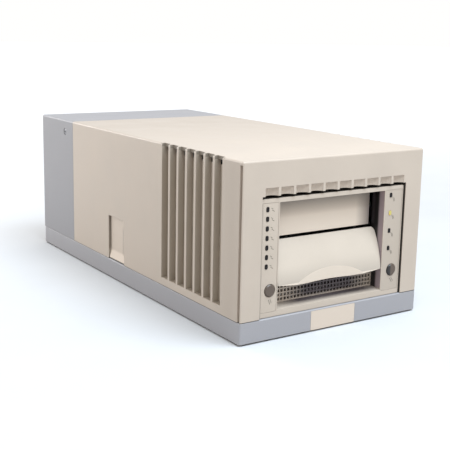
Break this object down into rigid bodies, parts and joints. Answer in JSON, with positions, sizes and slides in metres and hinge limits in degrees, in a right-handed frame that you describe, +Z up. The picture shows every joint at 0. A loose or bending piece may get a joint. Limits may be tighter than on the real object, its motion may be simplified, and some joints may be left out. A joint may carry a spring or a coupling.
{
  "type": "data tape drive",
  "caption": "Desktop tape drive in a beige and blue-grey enclosure, with lifting front handle, indicator columns, side ventilation slots and rear ports.",
  "frame": {"origin": "middle of the footprint, on the surface the feet stand on", "axes": "+Z up, -Y towards the front bezel, +X to the right of somebody facing the front, +Y along the length"},
  "size_m": [0.188, 0.396, 0.1455],
  "materials": {
    "cover_beige": "fine satin texture, moulded beige",
    "drive_beige": "satin moulded beige",
    "handle_beige": "smooth satin beige",
    "blue_grey": "fine satin texture, blue-grey",
    "foot_rubber": "matt black",
    "zinc_sheet": "galvanised sheet",
    "vent_screen": "dark brown-grey coating",
    "panel_sheet": "light grey painted sheet",
    "screw_steel": "zinc-plated steel",
    "black_plastic": "black moulded plastic",
    "rocker_plastic": "glossy black",
    "wheel_plastic": "white plastic",
    "pin_brass": "bright brass",
    "port_metal": "nickel-plated shell",
    "lens_dark": "unlit dark lens",
    "lens_amber": "amber lens",
    "button_grey": "dark grey-brown plastic",
    "circuit_board": "green board",
    "cast_metal": "as cast",
    "motor_metal": "plated steel",
    "reel_plastic": "dark grey plastic",
    "roller_metal": "turned bright",
    "cable_grey": "grey ribbon",
    "lead_black": "black insulation"
  },
  "bodies": {
    "root": {"address_switch": "black_plastic", "amber_lens": "lens_amber", "badge_plate": "cover_beige", "base_tray": "blue_grey", "chassis_frame": "zinc_sheet", "cover_screws": "screw_steel", "density_lenses": "lens_dark", "drive_base": "cast_metal", "drive_bezel": "drive_beige", "drive_brackets": "zinc_sheet", "drive_lid": "zinc_sheet", "drive_plugs": "black_plastic", "drive_screws": "screw_steel", "fan_frame": "black_plastic", "fan_screws": "screw_steel", "front_bezel": "cover_beige", "handle_pins": "screw_steel", "head_mount": "cast_metal", "inlet_pins": "pin_brass", "left_indicator_strip": "drive_beige", "lower_data_port": "port_metal", "main_board": "circuit_board", "panel_boards": "circuit_board", "panel_screws": "screw_steel", "port_screws": "screw_steel", "power_inlet": "black_plastic", "power_lead": "lead_black", "psu_board": "circuit_board", "psu_housing": "zinc_sheet", "rear_cover": "blue_grey", "rear_panel": "panel_sheet", "right_indicator_strip": "drive_beige", "rubber_feet": "foot_rubber", "signal_cable": "cable_grey", "slot_visor": "drive_beige", "status_lenses": "lens_dark", "supply_motor": "motor_metal", "switch_frame": "black_plastic", "takeup_motor": "motor_metal", "top_cover": "cover_beige", "top_lens": "lens_dark", "upper_data_port": "port_metal", "vent_grille": "drive_beige", "vent_screens": "vent_screen"},
    "handle": {"release_handle": "handle_beige"},
    "receiver": {"cartridge_receiver": "zinc_sheet"},
    "density_key": {"density_button": "button_grey"},
    "unload_key": {"unload_button": "button_grey"},
    "rocker": {"power_rocker": "rocker_plastic"},
    "fan": {"fan_rotor": "black_plastic"},
    "wheel": {"address_wheel": "wheel_plastic"},
    "up_key": {"address_up_key": "black_plastic"},
    "down_key": {"address_down_key": "black_plastic"},
    "hub": {"supply_hub": "reel_plastic"},
    "reel": {"takeup_reel": "reel_plastic"},
    "roller_1": {"guide_roller_1": "roller_metal"},
    "roller_2": {"guide_roller_2": "roller_metal"},
    "roller_3": {"guide_roller_3": "roller_metal"},
    "roller_4": {"guide_roller_4": "roller_metal"},
    "head": {"head_carriage": "cast_metal"}
  },
  "joints": [
    {"name": "handle_hinge", "type": "hinge", "parent": "root", "child": "handle", "pos_m": [-0.0019, -0.1812, 0.072], "axis": [-1, 0, 0], "range_deg": [0, 90]},
    {"name": "receiver_lift", "type": "slide", "parent": "root", "child": "receiver", "axis": [0, 0, 1], "range_m": [0, 0.005]},
    {"name": "density_press", "type": "slide", "parent": "root", "child": "density_key", "axis": [0, 1, 0], "range_m": [0, 0.0016], "stiffness_N_per_m": 400},
    {"name": "unload_press", "type": "slide", "parent": "root", "child": "unload_key", "axis": [0, 1, 0], "range_m": [0, 0.0016], "stiffness_N_per_m": 400},
    {"name": "power_rock", "type": "hinge", "parent": "root", "child": "rocker", "pos_m": [-0.058, 0.191, 0.077], "axis": [-1, 0, 0], "range_deg": [0, 16]},
    {"name": "fan_spin", "type": "hinge", "parent": "root", "child": "fan", "pos_m": [0.03, 0.185, 0.101], "axis": [0, 1, 0], "continuous": true},
    {"name": "address_spin", "type": "hinge", "parent": "root", "child": "wheel", "pos_m": [-0.003, 0.18885, 0.052], "axis": [1, 0, 0], "continuous": true},
    {"name": "up_press", "type": "slide", "parent": "root", "child": "up_key", "axis": [0, -1, 0], "range_m": [0, 0.0012], "stiffness_N_per_m": 400},
    {"name": "down_press", "type": "slide", "parent": "root", "child": "down_key", "axis": [0, -1, 0], "range_m": [0, 0.0012], "stiffness_N_per_m": 400},
    {"name": "hub_spin", "type": "hinge", "parent": "root", "child": "hub", "pos_m": [-0.0019, -0.1208, 0.0385], "axis": [0, 0, 1], "continuous": true},
    {"name": "reel_spin", "type": "hinge", "parent": "root", "child": "reel", "pos_m": [0.018, -0.01222, 0.048], "axis": [0, 0, 1], "continuous": true},
    {"name": "head_lift", "type": "slide", "parent": "root", "child": "head", "axis": [0, 0, 1], "range_m": [-0.003, 0.003]},
    {"name": "roller_1_spin", "type": "hinge", "parent": "root", "child": "roller_1", "pos_m": [-0.04189, -0.05901, 0.048], "axis": [0, 0, 1], "continuous": true},
    {"name": "roller_2_spin", "type": "hinge", "parent": "root", "child": "roller_2", "pos_m": [-0.05574, -0.03061, 0.048], "axis": [0, 0, 1], "continuous": true},
    {"name": "roller_3_spin", "type": "hinge", "parent": "root", "child": "roller_3", "pos_m": [-0.05684, 0.00097, 0.048], "axis": [0, 0, 1], "continuous": true},
    {"name": "roller_4_spin", "type": "hinge", "parent": "root", "child": "roller_4", "pos_m": [-0.04501, 0.03027, 0.048], "axis": [0, 0, 1], "continuous": true}
  ],
  "couplings": [
    {"joint": "handle_hinge", "follows": "receiver_lift", "rad_per_m": 314.16},
    {"joint": "roller_1_spin", "follows": "reel_spin", "ratio": 6},
    {"joint": "roller_2_spin", "follows": "reel_spin", "ratio": 6},
    {"joint": "roller_3_spin", "follows": "reel_spin", "ratio": 6},
    {"joint": "roller_4_spin", "follows": "reel_spin", "ratio": 6}
  ]
}
